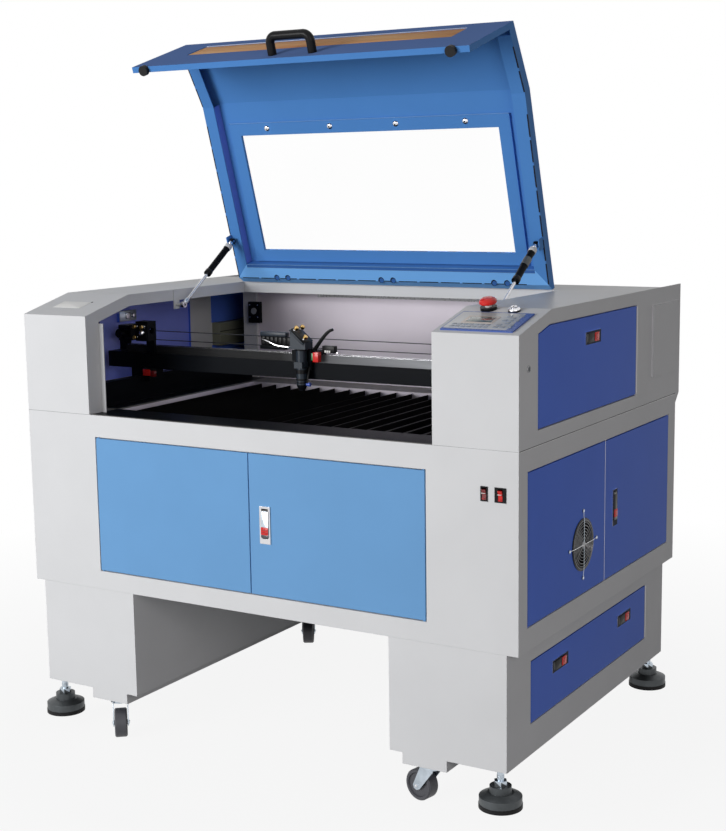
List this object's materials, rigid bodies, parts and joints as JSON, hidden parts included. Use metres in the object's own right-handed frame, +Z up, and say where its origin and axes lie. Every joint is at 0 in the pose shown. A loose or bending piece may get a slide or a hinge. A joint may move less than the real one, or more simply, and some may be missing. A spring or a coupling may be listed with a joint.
{
  "type": "laser engraving machine",
  "caption": "Floor-standing laser engraving machine: steel cabinet on two legs, raised windowed lid on gas struts, blade bed, gantry with laser head, side doors, casters and levelling feet.",
  "frame": {"origin": "floor point under the middle of the cabinet: mid-width, and half-way between the lower cabinet's front and rear faces", "axes": "+X to the operator's right, +Y from front to rear, +Z up"},
  "size_m": [1.412, 1.037, 1.7894],
  "materials": {
    "cabinet_grey": "semi-gloss powder coat",
    "door_blue": "gloss enamel",
    "front_blue": "gloss enamel",
    "lid_blue": "gloss enamel",
    "bed_black": "black anodised",
    "bright_steel": "polished",
    "black_paint": "satin",
    "black_plastic": "matte",
    "rubber_black": "matte",
    "lamp_aluminium": "satin anodised",
    "panel_blue": "satin",
    "head_blue": "satin",
    "tube_glass": "clear",
    "clear_acrylic": "clear",
    "latch_chrome": "bright",
    "lever_grey": "satin",
    "red_plastic": "gloss",
    "dark_red_plastic": "gloss",
    "zinc_steel": "zinc plated",
    "wheel_rubber": "matte"
  },
  "bodies": {
    "cabinet": {"lower_cabinet": "cabinet_grey", "legs": "cabinet_grey", "left_housing": "cabinet_grey", "right_housing": "cabinet_grey", "rear_cover": "cabinet_grey", "blade_bed": "bed_black", "y_rails": "black_paint", "tube_covers": "cabinet_grey", "fixed_mirror": "black_paint", "work_lamp": "lamp_aluminium", "control_panel": "panel_blue", "switch_bezels": "black_plastic", "laser_tube": "tube_glass", "power_supply": "zinc_steel"},
    "lid": {"lid_shell": "lid_blue", "lid_windows": "clear_acrylic", "window_trim": "lid_blue", "lid_handle": "black_plastic", "lid_bumpers": "rubber_black"},
    "left_strut_tube": {"left_strut_cylinder": "black_paint"},
    "right_strut_tube": {"right_strut_cylinder": "black_paint"},
    "left_strut_piston": {"left_strut_rod": "bright_steel"},
    "right_strut_piston": {"right_strut_rod": "bright_steel"},
    "front_left_leaf": {"front_door_left": "front_blue"},
    "front_right_leaf": {"front_door_right": "front_blue", "front_latch": "latch_chrome"},
    "front_latch_lever": {"front_latch_handle": "lever_grey"},
    "right_front_leaf": {"right_front_door": "door_blue", "fan_frame": "black_plastic"},
    "fan_wheel": {"fan_rotor": "black_plastic"},
    "right_rear_leaf": {"right_rear_door": "door_blue", "right_rear_latch": "latch_chrome"},
    "rear_latch_lever": {"right_rear_latch_handle": "lever_grey"},
    "right_upper_leaf": {"right_upper_door": "door_blue", "right_upper_latch": "latch_chrome"},
    "upper_latch_lever": {"right_upper_latch_handle": "lever_grey"},
    "left_upper_leaf": {"left_upper_door": "door_blue"},
    "leg_leaf": {"right_leg_panel": "door_blue", "right_leg_latches": "latch_chrome"},
    "leg_latch_lever_front": {"right_leg_handle_front": "lever_grey"},
    "leg_latch_lever_rear": {"right_leg_handle_rear": "lever_grey"},
    "emergency_stop": {"estop_button": "red_plastic"},
    "key_barrel": {"key_switch": "latch_chrome"},
    "power_switch": {"power_rocker": "red_plastic"},
    "lamp_switch": {"lamp_rocker": "dark_red_plastic"},
    "gantry": {"gantry_beam": "black_paint", "gantry_drive": "black_paint"},
    "head": {"laser_head": "head_blue"},
    "caster_front_left": {"caster_fork_front_left": "zinc_steel"},
    "wheel_front_left": {"caster_wheel_front_left": "wheel_rubber"},
    "foot_front_left": {"levelling_foot_front_left": "zinc_steel"},
    "caster_front_right": {"caster_fork_front_right": "zinc_steel"},
    "wheel_front_right": {"caster_wheel_front_right": "wheel_rubber"},
    "foot_front_right": {"levelling_foot_front_right": "zinc_steel"},
    "caster_rear_left": {"caster_fork_rear_left": "zinc_steel"},
    "wheel_rear_left": {"caster_wheel_rear_left": "wheel_rubber"},
    "foot_rear_left": {"levelling_foot_rear_left": "zinc_steel"},
    "caster_rear_right": {"caster_fork_rear_right": "zinc_steel"},
    "wheel_rear_right": {"caster_wheel_rear_right": "wheel_rubber"},
    "foot_rear_right": {"levelling_foot_rear_right": "zinc_steel"}
  },
  "joints": [
    {"name": "lid_hinge", "type": "hinge", "parent": "cabinet", "child": "lid", "pos_m": [0, 0.191, 1.1455], "axis": [1, 0, 0], "range_deg": [0, 72.6]},
    {"name": "left_strut_swing", "type": "hinge", "parent": "lid", "child": "left_strut_tube", "pos_m": [-0.469, 0.10751, 1.25976], "axis": [1, 0, 0], "range_deg": [-107.45, 0.5]},
    {"name": "left_strut_stroke", "type": "slide", "parent": "left_strut_tube", "child": "left_strut_piston", "axis": [0, 0.8225, 0.5687], "range_m": [-0.0005, 0.10127]},
    {"name": "right_strut_swing", "type": "hinge", "parent": "lid", "child": "right_strut_tube", "pos_m": [0.466, 0.10751, 1.25976], "axis": [1, 0, 0], "range_deg": [-107.45, 0.5]},
    {"name": "right_strut_stroke", "type": "slide", "parent": "right_strut_tube", "child": "right_strut_piston", "axis": [0, 0.8225, 0.5687], "range_m": [-0.0005, 0.10127]},
    {"name": "gantry_travel", "type": "slide", "parent": "cabinet", "child": "gantry", "axis": [0, 1, 0], "range_m": [-0.165, 0.435]},
    {"name": "head_travel", "type": "slide", "parent": "gantry", "child": "head", "axis": [1, 0, 0], "range_m": [-0.432, 0.468]},
    {"name": "front_left_door_hinge", "type": "hinge", "parent": "cabinet", "child": "front_left_leaf", "pos_m": [-0.47, -0.489, 0.6195], "axis": [0, 0, -1], "range_deg": [0, 100]},
    {"name": "front_right_door_hinge", "type": "hinge", "parent": "cabinet", "child": "front_right_leaf", "pos_m": [0.466, -0.489, 0.6195], "axis": [0, 0, 1], "range_deg": [0, 100]},
    {"name": "right_front_door_hinge", "type": "hinge", "parent": "cabinet", "child": "right_front_leaf", "pos_m": [0.695, -0.441, 0.623], "axis": [0, 0, -1], "range_deg": [0, 100]},
    {"name": "right_rear_door_hinge", "type": "hinge", "parent": "cabinet", "child": "right_rear_leaf", "pos_m": [0.695, 0.436, 0.623], "axis": [0, 0, 1], "range_deg": [0, 100]},
    {"name": "right_upper_door_hinge", "type": "hinge", "parent": "cabinet", "child": "right_upper_leaf", "pos_m": [0.695, -0.1005, 0.889], "axis": [0, 1, 0], "range_deg": [0, 90]},
    {"name": "left_upper_door_hinge", "type": "hinge", "parent": "cabinet", "child": "left_upper_leaf", "pos_m": [-0.695, -0.1005, 0.889], "axis": [0, -1, 0], "range_deg": [0, 90]},
    {"name": "right_leg_panel_hinge", "type": "hinge", "parent": "cabinet", "child": "leg_leaf", "pos_m": [0.667, 0, 0.205], "axis": [0, 1, 0], "range_deg": [0, 90]},
    {"name": "front_latch_hinge", "type": "hinge", "parent": "front_right_leaf", "child": "front_latch_lever", "pos_m": [0.0405, -0.495, 0.654], "axis": [-1, 0, 0], "range_deg": [0, 35]},
    {"name": "right_rear_latch_hinge", "type": "hinge", "parent": "right_rear_leaf", "child": "rear_latch_lever", "pos_m": [0.701, 0.0575, 0.656], "axis": [0, -1, 0], "range_deg": [0, 35]},
    {"name": "right_upper_latch_hinge", "type": "hinge", "parent": "right_upper_leaf", "child": "upper_latch_lever", "pos_m": [0.701, -0.127, 1.056], "axis": [0, 0, -1], "range_deg": [0, 35]},
    {"name": "leg_latch_front_hinge", "type": "hinge", "parent": "leg_leaf", "child": "leg_latch_lever_front", "pos_m": [0.673, -0.242, 0.298], "axis": [0, 0, -1], "range_deg": [0, 35]},
    {"name": "leg_latch_rear_hinge", "type": "hinge", "parent": "leg_leaf", "child": "leg_latch_lever_rear", "pos_m": [0.673, 0.166, 0.298], "axis": [0, 0, -1], "range_deg": [0, 35]},
    {"name": "fan_spin", "type": "hinge", "parent": "right_front_leaf", "child": "fan_wheel", "pos_m": [0.685, -0.14, 0.57], "axis": [1, 0, 0], "continuous": true},
    {"name": "emergency_stop_press", "type": "slide", "parent": "cabinet", "child": "emergency_stop", "axis": [0, 0.2466, -0.9691], "range_m": [0, 0.006], "stiffness_N_per_m": 800, "springref_m": -0.004},
    {"name": "key_turn", "type": "hinge", "parent": "cabinet", "child": "key_barrel", "pos_m": [0.621, -0.34863, 1.13399], "axis": [0, 0.2466, -0.9691], "range_deg": [0, 90]},
    {"name": "power_rocker_tilt", "type": "hinge", "parent": "cabinet", "child": "power_switch", "pos_m": [0.657, -0.49, 0.751], "axis": [-1, 0, 0], "range_deg": [0, 24]},
    {"name": "lamp_rocker_tilt", "type": "hinge", "parent": "cabinet", "child": "lamp_switch", "pos_m": [0.618, -0.49, 0.751], "axis": [-1, 0, 0], "range_deg": [0, 24]},
    {"name": "caster_swivel_front_left", "type": "hinge", "parent": "cabinet", "child": "caster_front_left", "pos_m": [-0.465, -0.454, 0.08], "axis": [0, 0, 1], "continuous": true},
    {"name": "caster_roll_front_left", "type": "hinge", "parent": "caster_front_left", "child": "wheel_front_left", "pos_m": [-0.44379, -0.47928, 0.0375], "axis": [0.766, 0.6428, 0], "continuous": true},
    {"name": "caster_swivel_front_right", "type": "hinge", "parent": "cabinet", "child": "caster_front_right", "pos_m": [0.465, -0.454, 0.08], "axis": [0, 0, 1], "continuous": true},
    {"name": "caster_roll_front_right", "type": "hinge", "parent": "caster_front_right", "child": "wheel_front_right", "pos_m": [0.43272, -0.44714, 0.0375], "axis": [-0.2079, -0.9781, 0], "continuous": true},
    {"name": "caster_swivel_rear_left", "type": "hinge", "parent": "cabinet", "child": "caster_rear_left", "pos_m": [-0.465, 0.454, 0.08], "axis": [0, 0, 1], "continuous": true},
    {"name": "caster_roll_rear_left", "type": "hinge", "parent": "caster_rear_left", "child": "wheel_rear_left", "pos_m": [-0.4485, 0.42542, 0.0375], "axis": [0.866, 0.5, 0], "continuous": true},
    {"name": "caster_swivel_rear_right", "type": "hinge", "parent": "cabinet", "child": "caster_rear_right", "pos_m": [0.465, 0.454, 0.08], "axis": [0, 0, 1], "continuous": true},
    {"name": "caster_roll_rear_right", "type": "hinge", "parent": "caster_rear_right", "child": "wheel_rear_right", "pos_m": [0.49601, 0.46529, 0.0375], "axis": [-0.342, 0.9397, 0], "continuous": true},
    {"name": "levelling_front_left", "type": "slide", "parent": "cabinet", "child": "foot_front_left", "axis": [0, 0, 1], "range_m": [-0.045, 0.015]},
    {"name": "levelling_front_right", "type": "slide", "parent": "cabinet", "child": "foot_front_right", "axis": [0, 0, 1], "range_m": [-0.045, 0.015]},
    {"name": "levelling_rear_left", "type": "slide", "parent": "cabinet", "child": "foot_rear_left", "axis": [0, 0, 1], "range_m": [-0.045, 0.015]},
    {"name": "levelling_rear_right", "type": "slide", "parent": "cabinet", "child": "foot_rear_right", "axis": [0, 0, 1], "range_m": [-0.045, 0.015]}
  ],
  "couplings": [
    {"joint": "left_strut_swing", "follows": "lid_hinge", "ratio": -1.4731},
    {"joint": "left_strut_stroke", "follows": "lid_hinge", "m_per_rad": 0.079451},
    {"joint": "right_strut_swing", "follows": "lid_hinge", "ratio": -1.4731},
    {"joint": "right_strut_stroke", "follows": "lid_hinge", "m_per_rad": 0.079451}
  ]
}
